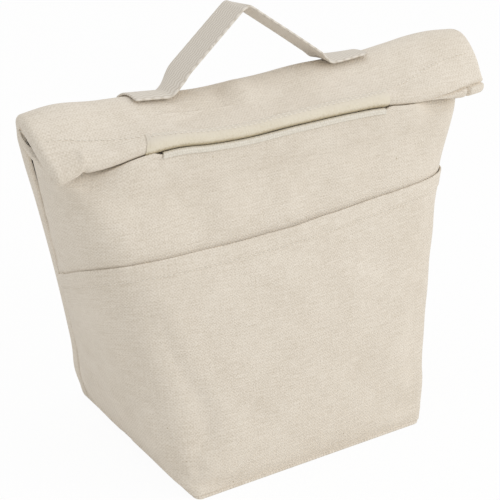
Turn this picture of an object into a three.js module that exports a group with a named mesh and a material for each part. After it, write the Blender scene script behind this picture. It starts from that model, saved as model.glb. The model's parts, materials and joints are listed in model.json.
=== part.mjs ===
// Rolltop cooler bag of natural canvas with a foil-faced foam liner, shown rolled shut.
// Millimetres, +Z up, +X to the right along the front, front facing -Y.
// The origin is the centre of the base, on the surface that the bag stands on.
import * as THREE from 'three';
import { LoftGeometry } from 'three/addons/geometries/LoftGeometry.js';

const { clamp, degToRad, lerp } = THREE.MathUtils;

// Base and walls
const baseWidth = 184;
const baseDepth = 166;
const sideFlare = 0.285; // outward run of each side per millimetre of height
const frontLean = 0.182; // backward run of the front wall per millimetre of height
const backLean = 0.3; // forward run of the back wall per millimetre of height
const frontCornerAtBase = 5;
const frontCornerGrowth = 0.3; // growth of the front corner's radius per millimetre of height
const frontCornerMost = 32;
const frontCornerShare = 0.55; // largest share of the side's depth that the corner may take
const backCorner = 3;
const seamSetback = 9; // from the back face to the seam on each side
const wallSwell = 4; // how far the filled walls stand out between their edges

// Cloth and foam
const canvas = 0.7;
const liner = 1.8;
const clearance = 0.25; // between layers that lie on each other
const seamGap = 0.3; // between panels that meet edge to edge
const baseRim = 2.5; // height of the base panel's turned-up edge
const baseCrown = 0.1; // how much thicker the base panel is inside its edge

// Roll, seen from its left end
const rollHeight = 238; // of the roll's centre line
const rollRadius = 20.5;
const rollOverhang = 8; // how far each end of the roll stands past the walls
const linerRecess = 2; // the liner stops short of the canvas at the ends of the roll
const rollStart = degToRad(3);
const rollSplit = degToRad(46);
const rollEnd = degToRad(125);
const flapLength = 30;
const hemLength = 18;
const curlPlay = 0.35; // half of the gap between the flap and the hem tucked behind it

// Mouth of the bag, where the front panel turns into the roll
const mouthDepth = 22.8; // between the outer faces of the front and the back panel
const mouthRise = 2.5; // height of the front panel's top edge above the roll's centre line
const shoulderBend = 11; // height from the top of the straight front wall to the closure

// Hook and loop closure
const tape = 1.2;
const closureGap = 0.3;
const loopLeft = -104;
const loopRight = 82;
const loopOnFlap = 6;
const hookLeft = -92;
const hookRight = 70;
const hookBelow = 4; // how far the hook tape shows below the hem

// Front pocket
const pocketHeight = 166;
const pocketHem = 10.5;
const pocketFall = 36; // how far the pocket's mouth falls from the front to the side seams
const pocketEase = 1.6; // how far the pocket's mouth stands off in the middle

// Handle
const webbing = 1.6;
const webbingWidth = 25;
const handleCentre = -3.2;
const handleSpan = 120.8; // between the inner ends of the sewn tabs
const handleApexX = -6;
const handleRise = 43.7; // height of the peak above the sewn tabs
const tabLength = 28;
const footHeight = 12; // height of the stretch that twists when the handle flops
const handleAngle = degToRad(81); // place of the tabs on the round of the roll

// Facets
const cornerSteps = 5;
const sideSteps = 3;
const frontSteps = 8;
const backSteps = 6;
const arcSteps = 6;
const heightSteps = 5;

// Heights worked out from the sizes above
const mouthHeight = rollHeight + mouthRise;
const wallBottom = baseRim + seamGap;
const linerBottom = canvas + clearance + liner + seamGap;
const layerStack = 2 * canvas + 2 * liner + 3 * clearance;
const curlRadius = layerStack + curlPlay;

// Depths of the layers of the rolled top, from the outer face inwards
const layers = {
  back_canvas: [0, canvas],
  back_liner: [canvas + clearance, canvas + clearance + liner],
  front_liner: [canvas + liner + 2 * clearance, canvas + 2 * liner + 2 * clearance],
  front_canvas: [layerStack - canvas, layerStack],
};

// Slope of the walls. The roll carries on from the back wall.
const backY = (z) => baseDepth / 2 - backLean * z;
const seamY = (z) => backY(z) - seamSetback;
const halfWidth = (z) => baseWidth / 2 + sideFlare * z;
const backMeetsRoll = rollHeight + rollRadius * Math.sin(rollStart);
const rollY = backY(backMeetsRoll) - rollRadius * Math.cos(rollStart);
const rollCentre = new THREE.Vector2(rollY, rollHeight);
const rollHalfLength = halfWidth(rollHeight) + rollOverhang;

// Places of the roll's pieces, in the plane of Y and Z
const onRoll = (angle, radius) =>
  new THREE.Vector2(Math.cos(angle), Math.sin(angle)).multiplyScalar(radius).add(rollCentre);
const flapDown = new THREE.Vector2(-Math.sin(rollEnd), Math.cos(rollEnd));
const flapInward = new THREE.Vector2(-Math.cos(rollEnd), -Math.sin(rollEnd));
const flapTop = onRoll(rollEnd, rollRadius);
const flapEnd = flapTop.clone().addScaledVector(flapDown, flapLength);
const curlCentre = flapEnd.clone().addScaledVector(flapInward, curlRadius);
const hemFoot = curlCentre.clone().addScaledVector(flapInward, curlRadius);

// The front wall's outline from the base up to the mouth
const closureStack = 2 * (tape + clearance) + closureGap;
const shoulderLow = hemFoot.clone().addScaledVector(flapInward, closureStack);
const shoulderHigh = shoulderLow.clone().addScaledVector(flapDown, -hemLength);
const wallTop = shoulderLow.y - shoulderBend;
const frontWallAt = (z) => -baseDepth / 2 + frontLean * z;
const frontProfile = [
  new THREE.Vector2(frontWallAt(0), 0),
  new THREE.Vector2(frontWallAt(wallTop), wallTop),
  shoulderLow,
  shoulderHigh,
  new THREE.Vector2(backY(mouthHeight) - mouthDepth, mouthHeight),
];

function frontY(z) {
  const next = Math.max(1, frontProfile.findIndex((point) => point.y >= z));
  const [low, high] = [frontProfile[next - 1], frontProfile[next]];
  return lerp(low.x, high.x, (z - low.y) / (high.y - low.y));
}

const swell = (z) => wallSwell * Math.sin(Math.PI * Math.min(z / wallTop, 1));

function frontCorner(z) {
  const free = Math.min(frontCornerAtBase + frontCornerGrowth * z, frontCornerMost);
  return Math.min(free, frontCornerShare * (seamY(z) - frontY(z)));
}

const mirrored = (points) => points.map((p) => new THREE.Vector2(-p.x, p.y)).reverse();

// A quarter of a circle, starting at the given quarter turn
function cornerArc(x, y, radius, quarter) {
  return Array.from({ length: cornerSteps + 1 }, (_, i) => {
    const angle = (quarter + i / cornerSteps) * (Math.PI / 2);
    return new THREE.Vector2(x + radius * Math.cos(angle), y + radius * Math.sin(angle));
  });
}

// Left seam, left side, front, right side, right seam. The ease pushes the front out further.
function frontPath(z, inset, ease = 0) {
  const half = halfWidth(z) - inset;
  const front = frontY(z) + inset;
  const radius = frontCorner(z) - inset;
  const sideEnd = seamY(z) - seamGap / 2;
  const left = [];
  for (let i = 0; i < sideSteps; i++) {
    const part = i / sideSteps;
    const out = swell(z) * Math.sin(Math.PI * part);
    left.push(new THREE.Vector2(-half - out, lerp(sideEnd, front + radius, part)));
  }
  left.push(...cornerArc(radius - half, front + radius, radius, 2));
  const middle = [];
  for (let i = 1; i < frontSteps; i++) {
    const part = i / frontSteps;
    const out = (swell(z) + ease) * Math.sin(Math.PI * part);
    middle.push(new THREE.Vector2(lerp(radius - half, half - radius, part), front - out));
  }
  return [...left, ...middle, ...mirrored(left)];
}

// Right seam, right back corner, back, left back corner, left seam
function backPath(z, inset) {
  const half = halfWidth(z) - inset;
  const back = backY(z) - inset;
  const radius = backCorner - inset;
  const corner = cornerArc(half - radius, back - radius, radius, 0);
  const right = [new THREE.Vector2(half, seamY(z) + seamGap / 2), ...corner];
  const middle = [];
  for (let i = 1; i < backSteps; i++) {
    const part = i / backSteps;
    const out = swell(z) * Math.sin(Math.PI * part);
    middle.push(new THREE.Vector2(lerp(half - radius, radius - half, part), back + out));
  }
  return [...right, ...middle, ...mirrored(right)];
}

const atHeight = (points, z) => points.map((p) => new THREE.Vector3(p.x, p.y, z));

// A sheet of cloth or foam, lofted between an outer and an inner path at each height. Both faces
// are split along the same diagonals, so sheets that lie on each other stay clear.
function sheetGeometry(rings) {
  const rows = rings.length;
  const columns = rings[0].outer.length;
  const outerPoints = rings.flatMap((ring) => ring.outer);
  const innerPoints = rings.flatMap((ring) => ring.inner);
  const outer = (row, column) => row * columns + column;
  const inner = (row, column) => (rows + row) * columns + column;
  const [top, right] = [rows - 1, columns - 1];
  const index = [];
  const quad = (a, b, c, d) => index.push(a, b, c, a, c, d);
  for (let j = 1; j < columns; j++) {
    for (let i = 1; i < rows; i++) {
      quad(outer(i - 1, j - 1), outer(i - 1, j), outer(i, j), outer(i, j - 1));
      quad(inner(i - 1, j - 1), inner(i, j - 1), inner(i, j), inner(i - 1, j));
    }
    quad(outer(0, j), outer(0, j - 1), inner(0, j - 1), inner(0, j));
    quad(outer(top, j - 1), outer(top, j), inner(top, j), inner(top, j - 1));
  }
  for (let i = 1; i < rows; i++) {
    quad(outer(i - 1, 0), outer(i, 0), inner(i, 0), inner(i - 1, 0));
    quad(outer(i, right), outer(i - 1, right), inner(i - 1, right), inner(i, right));
  }
  const geometry = new THREE.BufferGeometry().setFromPoints([...outerPoints, ...innerPoints]);
  geometry.setIndex(index);
  return geometry;
}

// All layers turn at the same heights, so that they stay clear of each other
function wallHeights(bottom, top) {
  const straight = Array.from({ length: heightSteps }, (_, i) => (wallTop * (i + 1)) / heightSteps);
  const between = [...straight, shoulderLow.y, shoulderHigh.y].filter((z) => z < top);
  return [bottom, ...between, top];
}

// One layer of a wall, between two depths below the outer face
function wallLayer(path, [outside, inside], bottom, top) {
  const rings = wallHeights(bottom, top).map((z) => ({
    outer: atHeight(path(z, outside), z),
    inner: atHeight(path(z, inside), z),
  }));
  return sheetGeometry(rings);
}

function baseRing(z, inset) {
  const [x, y] = [baseWidth / 2 - inset, baseDepth / 2 - inset];
  const [front, back] = [frontCornerAtBase - inset, backCorner - inset];
  const left = cornerArc(front - x, front - y, front, 2);
  const right = cornerArc(x - back, y - back, back, 0);
  return atHeight([...left, ...mirrored(left), ...right, ...mirrored(right)], z);
}

// The base panel is a shallow tray, skinned from its underside over the rim to the floor inside.
// The base liner lies inside the rim.
function baseCanvas() {
  const floor = baseRing(canvas + baseCrown, backCorner / 2);
  const outside = [baseRing(0, 0), baseRing(baseRim, 0)];
  const inside = [baseRing(baseRim, canvas), baseRing(canvas, canvas), floor];
  return new LoftGeometry([...outside, ...inside], { capStart: true, capEnd: true });
}

function baseLiner() {
  const bottom = canvas + clearance;
  const inset = canvas + clearance;
  const sections = [baseRing(bottom, inset), baseRing(bottom + liner, inset)];
  return new LoftGeometry(sections, { capStart: true, capEnd: true });
}

// The pocket lies on the front panel. Its mouth falls towards the side seams, and its folded hem
// doubles the cloth along the mouth.
function frontPocket() {
  const hemFootZ = pocketHeight - pocketHem;
  const level = (2 * wallTop) / heightSteps; // below this height the rows stay level
  const columns = frontPath(0, 0).length;
  const fall = (column) => {
    const part = Math.min(column, columns - 1 - column) / (sideSteps + cornerSteps);
    return pocketFall * Math.max(1 - part, 0) ** 2.5;
  };
  const ring = (z, thickness) => {
    const ease = (pocketEase * (z - wallBottom)) / (pocketHeight - wallBottom);
    const share = clamp((z - level) / (hemFootZ - level), 0, 1);
    const face = (inset) => Array.from({ length: columns }, (_, column) => {
      const height = z - share * fall(column);
      return atHeight(frontPath(height, inset, ease), height)[column];
    });
    return { outer: face(-clearance - thickness), inner: face(-clearance) };
  };
  const plain = wallHeights(wallBottom, hemFootZ).map((z) => ring(z, canvas));
  const hem = [hemFootZ + canvas, pocketHeight].map((z) => ring(z, 2 * canvas));
  return sheetGeometry([...plain, ...hem]);
}

// A section in the plane of Y and Z, run along the bag from one X to another
const alongX = new THREE.Matrix4().makeBasis(
  new THREE.Vector3(0, 1, 0), new THREE.Vector3(0, 0, 1), new THREE.Vector3(1, 0, 0));

function runAlongX(shape, left, right) {
  const options = { depth: right - left, bevelEnabled: false, curveSegments: arcSteps };
  const geometry = new THREE.ExtrudeGeometry(shape, options);
  geometry.applyMatrix4(alongX);
  return geometry.translate(left, 0, 0);
}

function arcBand(centre, outer, inner, from, to) {
  const shape = new THREE.Shape();
  shape.absarc(centre.x, centre.y, outer, from, to, false);
  shape.absarc(centre.x, centre.y, inner, to, from, true);
  return shape;
}

// A straight slab that starts at a point, runs in a direction and lies between two depths
function slab(start, along, across, length, [near, far]) {
  const corner = (run, depth) =>
    start.clone().addScaledVector(along, run).addScaledVector(across, depth);
  return new THREE.Shape([corner(0, near), corner(length, near), corner(length, far), corner(0, far)]);
}

const layerReach = (layer) => rollHalfLength - (layer.endsWith('liner') ? linerRecess : 0);

// One rounded stretch of the roll. Its far end stops short of the next stretch.
function crownLayer(layer, from, to) {
  const [near, far] = layers[layer];
  const end = to - seamGap / rollRadius;
  const shape = arcBand(rollCentre, rollRadius - near, rollRadius - far, from, end);
  return runAlongX(shape, -layerReach(layer), layerReach(layer));
}

function flapLayer(layer) {
  const shape = slab(flapTop, flapDown, flapInward, flapLength - seamGap, layers[layer]);
  return runAlongX(shape, -layerReach(layer), layerReach(layer));
}

// The hem lies behind the flap with its outer face turned to the front wall
function hemLayer(layer) {
  const up = flapDown.clone().negate();
  const outward = flapInward.clone().negate();
  const shape = slab(hemFoot, up, outward, hemLength, layers[layer]);
  return runAlongX(shape, -layerReach(layer), layerReach(layer));
}

// The back canvas goes round from the flap to the hem
function hemCurl() {
  const from = rollEnd;
  const gap = seamGap / curlRadius;
  const shape = arcBand(curlCentre, curlRadius, curlRadius - canvas, from + gap, from + Math.PI - gap);
  return runAlongX(shape, -rollHalfLength, rollHalfLength);
}

function loopOnFlapFace() {
  const start = flapTop.clone().addScaledVector(flapDown, flapLength - loopOnFlap);
  const shape = slab(start, flapDown, flapInward, loopOnFlap, [-clearance - tape, -clearance]);
  return runAlongX(shape, loopLeft, loopRight);
}

function loopOnHemFace() {
  const up = flapDown.clone().negate();
  const shape = slab(hemFoot, up, flapInward, hemLength, [clearance, clearance + tape]);
  return runAlongX(shape, loopLeft, loopRight);
}

// A band along a path of straight runs, mitred at its bends, between two distances to its left
function bandShape(points, near, far) {
  const run = (i) => points[i + 1].clone().sub(points[i]).normalize();
  const side = (d) => new THREE.Vector2(-d.y, d.x);
  const edge = (distance) => points.map((point, i) => {
    const before = side(run(Math.max(i - 1, 0)));
    const after = side(run(Math.min(i, points.length - 2)));
    const mitre = before.clone().add(after).normalize();
    return point.clone().addScaledVector(mitre, distance / mitre.dot(after));
  });
  return new THREE.Shape([...edge(near), ...edge(far).reverse()]);
}

function hookTape() {
  const wallDown = frontProfile[1].clone().sub(shoulderLow).normalize();
  const low = shoulderLow.clone().addScaledVector(wallDown, hookBelow);
  const shape = bandShape([low, shoulderLow, shoulderHigh], clearance, clearance + tape);
  return runAlongX(shape, hookLeft, hookRight);
}

// The webbing's legs, drawn upright from the middle of the tabs and run across the width of the
// webbing. The loop stands square to the round of the roll, so it leans with the tabs.
const tabMiddle = onRoll(handleAngle, rollRadius + clearance + webbing);
const apex = new THREE.Vector2(handleApexX, handleRise);
const legFoot = (side) => new THREE.Vector2(handleCentre + (side * handleSpan) / 2, 0);

const onLeg = (side, height) => legFoot(side).lerp(apex, height / handleRise);

function runAcrossWebbing(shape) {
  const geometry = new THREE.ExtrudeGeometry(shape, { depth: webbingWidth, bevelEnabled: false });
  geometry.translate(0, 0, -webbingWidth / 2).rotateX(handleAngle);
  return geometry.translate(0, tabMiddle.x, tabMiddle.y);
}

function handleTab(side) {
  const inner = rollRadius + clearance;
  const spread = webbingWidth / 2 / (inner + webbing);
  const shape = arcBand(rollCentre, inner + webbing, inner, handleAngle - spread, handleAngle + spread);
  const near = legFoot(side).x + side * seamGap;
  const far = near + side * tabLength;
  return runAlongX(shape, Math.min(near, far), Math.max(near, far));
}

function handleFoot(side) {
  const path = [legFoot(side), onLeg(side, footHeight - seamGap)];
  return runAcrossWebbing(bandShape(path, -webbing / 2, webbing / 2));
}

function handleLoop() {
  const path = [onLeg(-1, footHeight), apex, onLeg(1, footHeight)];
  return runAcrossWebbing(bandShape(path, -webbing / 2, webbing / 2));
}

const bag = new THREE.Group();

function add(name, geometry, look) {
  const mesh = new THREE.Mesh(geometry, new THREE.MeshStandardMaterial({ metalness: 0, ...look }));
  mesh.name = name;
  bag.add(mesh);
}

const canvasLook = { color: 0xd9d0c0, roughness: 0.95 };
const linerLook = { color: 0xc9ccd0, roughness: 0.35, metalness: 0.6 };
const webbingLook = { color: 0xe6dfd0, roughness: 0.9 };
const loopLook = { color: 0xe3dac3, roughness: 1 };
const hookLook = { color: 0xece6d6, roughness: 0.6 };

const wallCanvas = layers.back_canvas;
const wallLiner = layers.back_liner;
const backTop = onRoll(rollStart, rollRadius).y - seamGap;

add('front_canvas', wallLayer(frontPath, wallCanvas, wallBottom, mouthHeight), canvasLook);
add('back_canvas', wallLayer(backPath, wallCanvas, wallBottom, backTop), canvasLook);
add('base_canvas', baseCanvas(), canvasLook);
add('front_liner', wallLayer(frontPath, wallLiner, linerBottom, mouthHeight), linerLook);
add('back_liner', wallLayer(backPath, wallLiner, linerBottom, backTop), linerLook);
add('base_liner', baseLiner(), linerLook);
add('front_pocket', frontPocket(), canvasLook);
add('hook_tape', hookTape(), hookLook);

for (const layer of Object.keys(layers)) {
  const look = layer.endsWith('liner') ? linerLook : canvasLook;
  add(`crown_rear_${layer}`, crownLayer(layer, rollStart, rollSplit), look);
  add(`crown_top_${layer}`, crownLayer(layer, rollSplit, rollEnd), look);
  add(`flap_${layer}`, flapLayer(layer), look);
  add(`hem_${layer}`, hemLayer(layer), look);
}
add('hem_curl_canvas', hemCurl(), canvasLook);
add('loop_tape_flap', loopOnFlapFace(), loopLook);
add('loop_tape_hem', loopOnHemFace(), loopLook);

for (const [name, side] of [['left', -1], ['right', 1]]) {
  add(`handle_tab_${name}`, handleTab(side), webbingLook);
  add(`handle_foot_${name}`, handleFoot(side), webbingLook);
}
add('handle_loop', handleLoop(), webbingLook);

export default bag;
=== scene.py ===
import json
import math
from functools import partial

import bpy
import numpy as np
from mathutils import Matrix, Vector


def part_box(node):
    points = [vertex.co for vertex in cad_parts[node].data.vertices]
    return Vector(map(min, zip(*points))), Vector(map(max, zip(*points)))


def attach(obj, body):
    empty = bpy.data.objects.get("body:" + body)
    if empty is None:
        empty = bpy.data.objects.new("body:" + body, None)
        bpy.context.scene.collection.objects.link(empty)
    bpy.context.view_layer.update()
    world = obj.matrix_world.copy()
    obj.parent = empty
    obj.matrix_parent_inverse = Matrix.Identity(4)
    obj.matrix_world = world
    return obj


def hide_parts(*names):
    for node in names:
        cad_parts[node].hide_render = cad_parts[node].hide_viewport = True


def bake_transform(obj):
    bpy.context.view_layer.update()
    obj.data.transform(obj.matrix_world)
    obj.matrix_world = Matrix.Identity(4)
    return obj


# Rolltop cooler bag in natural cotton canvas, shown rolled shut. Lengths here are millimetres.
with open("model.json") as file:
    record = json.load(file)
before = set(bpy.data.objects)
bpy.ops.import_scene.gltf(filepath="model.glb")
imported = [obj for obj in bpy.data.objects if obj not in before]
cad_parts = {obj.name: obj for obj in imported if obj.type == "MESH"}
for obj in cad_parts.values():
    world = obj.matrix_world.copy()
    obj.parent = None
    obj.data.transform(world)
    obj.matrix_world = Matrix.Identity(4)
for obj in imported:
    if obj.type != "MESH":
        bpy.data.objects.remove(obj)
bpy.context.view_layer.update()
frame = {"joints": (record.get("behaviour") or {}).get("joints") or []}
print("frame loaded")


# Small helpers for soft shapes
def ease(low, high, v):  # 0 before low, 1 after high
    t = np.clip((np.asarray(v, float) - low) / (high - low), 0, 1)
    return t * t * (3 - 2 * t)


def hump(v, middle, reach):
    return np.exp(-(((np.asarray(v, float) - middle) / reach) ** 2))


def through(knots, v):  # smooth curve through a few (place, value) pairs
    at, value = np.array(knots, float).T
    slope = np.gradient(value, at)
    v = np.clip(v, at[0], at[-1])
    k = np.clip(np.searchsorted(at, v) - 1, 0, len(at) - 2)
    gap = at[k + 1] - at[k]
    t = (v - at[k]) / gap
    rise = (value[k + 1] - value[k]) * t * t * (3 - 2 * t)
    lean = gap * t * (1 - t) * (slope[k] * (1 - t) - slope[k + 1] * t)
    return value[k] + rise + lean


def ripple(u, v, seed, wave):  # soft unevenness between about -1 and 1, of this wave length
    pick = np.random.default_rng(seed)
    total = 0
    for _ in range(7):
        turn, start = pick.uniform(0, 2 * math.pi, 2)
        length = wave * pick.uniform(0.7, 1.5)
        total = total + np.sin((u * math.cos(turn) + v * math.sin(turn)) * 2 * math.pi / length + start)
    return total / 3.2


def unit(v):
    return v / np.maximum(np.linalg.norm(v, axis=-1, keepdims=True), 1e-9)


def polar(degrees):
    turn = np.radians(degrees)
    return np.stack([np.cos(turn), np.sin(turn)], -1)


def facing(grid):  # outward normals of a grid whose columns run to the right, seen from outside
    return unit(np.cross(np.gradient(grid, axis=1), np.gradient(grid, axis=0)))


def runLength(grid, axis):  # distance along the rows or columns of a grid
    step = np.linalg.norm(np.diff(grid, axis=axis), axis=-1)
    start = np.zeros_like(np.take(step, [0], axis=axis))
    return np.concatenate([start, np.cumsum(step, axis=axis)], axis=axis)


def lineRun(line):
    return runLength(line[None], 1)[0]


def upRun(grid):  # distance up the middle column
    return runLength(grid, 0)[:, [grid.shape[1] // 2]]


def crossRuns(grid):  # distances from the middle column and from the nearer side edge
    run = runLength(grid, 1)
    return run - run[:, [grid.shape[1] // 2]], np.minimum(run, run[:, [-1]] - run)


def along(spots, run, line):  # places on a line, by distance along it
    return np.stack([np.interp(spots, run, line[:, k]) for k in range(line.shape[1])], -1)


def soften(line, times):  # evens out neighbours, and both ends stay
    line = line.copy()
    for _ in range(times):
        line[1:-1] = (line[:-2] + 2 * line[1:-1] + line[2:]) / 4
    return line


def nearest(values, target):
    return int(np.argmin(np.abs(values - target)))


def spans(*parts):
    return np.concatenate([np.linspace(*part) for part in parts])


# Colours and shader nodes
def srgb(code):
    parts = [int(code[i:i + 2], 16) / 255 for i in (1, 3, 5)]
    return tuple(p / 12.92 if p <= 0.04045 else ((p + 0.055) / 1.055) ** 2.4 for p in parts) + (1.0,)


def feed(node, inputs):  # an input takes a constant, a colour code, a socket or the output in use of a node
    for key, value in inputs.items() if isinstance(inputs, dict) else enumerate(inputs):
        if isinstance(value, bpy.types.Node):
            value = next(socket for socket in value.outputs if socket.enabled)
        if isinstance(value, bpy.types.NodeSocket):
            node.id_data.links.new(value, node.inputs[key])
        else:
            node.inputs[key].default_value = srgb(value) if isinstance(value, str) else value


def addNode(tree, kind, inputs=(), stops=(), place=None, **settings):
    # An operation or data type follows its node's kind. A texture lies on the cloth unless its inputs say
    # where. The stops are a colour ramp's, with its two ends first.
    kind, _, option = kind.partition(" ")
    node = tree.nodes.new("ShaderNode" + kind)
    if option:
        settings["data_type" if kind == "Mix" else "operation"] = option
    for key, value in settings.items():
        setattr(node, key, value)
    if kind.startswith("Tex"):
        feed(node, {"Vector": place})
    feed(node, inputs)
    for k, (position, colour) in enumerate(stops):
        stop = node.color_ramp.elements[k] if k < 2 else node.color_ramp.elements.new(position)
        stop.position = position
        stop.color = srgb(colour)
    return node


def newLook(make):  # a material named like the function that says what its shader takes
    look = bpy.data.materials.new(make.__name__)
    look.use_nodes = True
    tree = look.node_tree
    place = addNode(tree, "Attribute", attribute_name="clothPlace").outputs["Vector"]  # on the flat cloth, mm
    feed(tree.nodes["Principled BSDF"], make(partial(addNode, tree, place=place), place))
    return look


# Unbleached cotton canvas, plain woven: matt, with thick and thin yarns, cloudy tone and seed flecks
canvasLook = dict(
    colour="#E2D8C9", shade="#D4C9B8", pale="#EBE2D4", fleck="#8E7C5C", fleckLight="#B7A47E",
    yarn=1.15,  # real yarns are about 0.6 mm apart, drawn coarser so that they show
    wander=7.0, stray=1.5, slubLength=13, slubWidth=0.9, cloud=38, grain=1.1,
    base=-0.775, slubTone=1.5, cloudTone=0.5, grainTone=1.1, weaveTone=0.17,
    fleckCell=11, fleckSize=0.55, fleckFrom=0.42, fleckShow=0.6, bump=0.52)


def cottonCanvas(add, place):
    s = canvasLook
    wander = add("TexNoise", {"Scale": 1 / s["wander"], "Detail": 2.0})
    stray = add("VectorMath ADD", [wander.outputs["Color"], (-0.5, -0.5, -0.5)])
    uneven = add("VectorMath MULTIPLY_ADD", [stray, (s["stray"], s["stray"], 0), place])
    axes = add("SeparateXYZ", [add("VectorMath SCALE", {0: uneven, "Scale": math.pi / s["yarn"]})])
    weave = add("Math MULTIPLY", [add("Math SINE", [axes.outputs[axis]]) for axis in "XY"])
    # Thick yarns run both ways
    slub, lengthways, across = 0.0, 1 / s["slubLength"], 1 / s["slubWidth"]
    for way, share in (((lengthways, across, 1), 0.62), ((across, lengthways, 1), 0.38)):
        drawn = add("VectorMath MULTIPLY", [place, way])
        yarns = add("TexNoise", {"Vector": drawn, "Scale": 1.0, "Detail": 2.0, "Roughness": 0.6})
        slub = add("Math MULTIPLY_ADD", [yarns, share, slub])
    cloud = add("TexNoise", {"Scale": 1 / s["cloud"], "Detail": 3.0})
    grain = add("TexNoise", {"Scale": 1 / s["grain"], "Detail": 2.0})
    tone = s["base"]
    for part, share in ((slub, "slubTone"), (cloud, "cloudTone"), (grain, "grainTone"), (weave, "weaveTone")):
        tone = add("Math MULTIPLY_ADD", [part, s[share], tone])
    cloth = add("ValToRGB", [tone], [(0.36, s["shade"]), (1.0, s["pale"]), (0.76, s["colour"])])
    # Bits of seed husk left in the yarn
    cells = add("TexVoronoi", {"Scale": 1 / s["fleckCell"]})
    chance = add("SeparateColor", [cells.outputs["Color"]])
    size = add("Math SUBTRACT", [chance, s["fleckFrom"]])
    size = add("Math MULTIPLY", [size, s["fleckSize"] / s["fleckCell"] * 1.8])
    speck = add("Math MULTIPLY", [add("Math LESS_THAN", [cells, size]), s["fleckShow"]])
    husk = add("Mix RGBA", {0: chance.outputs["Green"], 6: s["fleck"], 7: s["fleckLight"]})
    height = add("Math MULTIPLY_ADD", [slub, 2.2, add("Math MULTIPLY_ADD", [weave, 0.4, grain])])
    return {"Base Color": add("Mix RGBA", {0: speck, 6: cloth, 7: husk}), "Roughness": 0.94,
            "Normal": add("Bump", {"Height": height, "Strength": s["bump"], "Distance": 0.00026}),
            "Specular IOR Level": 0.22, "Sheen Weight": 0.12, "Sheen Roughness": 0.55}


# Metallised film on foam, heat-bonded: silvery, finely crumpled and quilted by the foam's cells
foilLook = dict(colour="#C9CBCC", dull="#AEB0B2", crumple=9, fine=2.4, broad=30, creaseEnds=0.12,
                creaseDepth=5)


def metallisedFilm(add, place):
    s = foilLook
    creases = add("TexVoronoi", {"Scale": 1 / s["crumple"]}, feature="DISTANCE_TO_EDGE")
    fine = add("TexNoise", {"Scale": 1 / s["fine"], "Detail": 3.0})
    broad = add("TexNoise", {"Scale": 1 / s["broad"], "Detail": 2.0})
    edge = add("Math MINIMUM", [creases.outputs["Distance"], s["creaseEnds"]])
    height = add("Math MULTIPLY_ADD", [edge, s["creaseDepth"], fine])
    return {"Base Color": add("Mix RGBA", {0: broad, 6: s["colour"], 7: s["dull"]}), "Metallic": 0.85,
            "Normal": add("Bump", {"Height": height, "Strength": 0.5, "Distance": 0.0005}),
            "Roughness": add("MapRange", [fine, 0.3, 0.7, 0.26, 0.42])}


# Closed-cell polyethylene foam: white, faintly pitted, seen only on cut edges
foamLook = dict(colour="#E9E8E4", pit="#D6D5D0", cell=1.1)


def closedCellFoam(add, place):
    s = foamLook
    cells = add("TexVoronoi", {"Scale": 1 / s["cell"]})
    return {"Base Color": add("Mix RGBA", {0: cells, 6: s["colour"], 7: s["pit"]}), "Roughness": 0.7,
            "Normal": add("Bump", {"Height": cells, "Strength": 0.3, "Distance": 0.0002}, invert=True)}


# Cotton webbing, herringbone woven: matt, with ribs along it that zigzag across
webbingLook = dict(colour="#DFD7CB", valley="#CBC2B4", pale="#E6DFD4", rib=2.6, zig=6.5, sway=0.55, fuzz=0.7)


def cottonWebbing(add, place):
    s = webbingLook
    axes = add("SeparateXYZ", [place])  # X across the strap, Y along it
    sway = add("Math SINE", [add("Math MULTIPLY", [axes.outputs["Y"], 2 * math.pi / s["zig"]])])
    swayed = add("Math MULTIPLY_ADD", [sway, s["sway"], axes.outputs["X"]])
    ribs = add("Math COSINE", [add("Math MULTIPLY", [swayed, 2 * math.pi / s["rib"]])])
    fuzz = add("TexNoise", {"Scale": 1 / s["fuzz"], "Detail": 2.0})
    height = add("Math MULTIPLY_ADD", [ribs, 0.8, add("Math MULTIPLY_ADD", [fuzz, 0.45, 0.28])])
    tone = add("MapRange", [height, -0.5, 1.5])
    return {"Base Color": add("ValToRGB", [tone], [(0.0, s["valley"]), (1.0, s["pale"]), (0.5, s["colour"])]),
            "Normal": add("Bump", {"Height": height, "Strength": 0.45, "Distance": 0.0003}),
            "Roughness": 0.95, "Specular IOR Level": 0.2, "Sheen Weight": 0.15}


# Nylon loop pile, knitted and brushed: creamy and fuzzy, with a darker ground showing between loops
# The brown for the fold's underside is mostly painted shade of the gap against the hook tape, with a little
# real fluff in the pile
loopLook = dict(colour="#E5DBC6", ground="#C8B995", pale="#EDE5D2", border="#E0D7C8", fuzzShade="#A38F58",
                tuft=1.5, patch=14, borderEnds=6, fuzzShadeStarts=7.6, fuzzShadeEnds=15, fuzzShadeShow=0.7)


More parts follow.
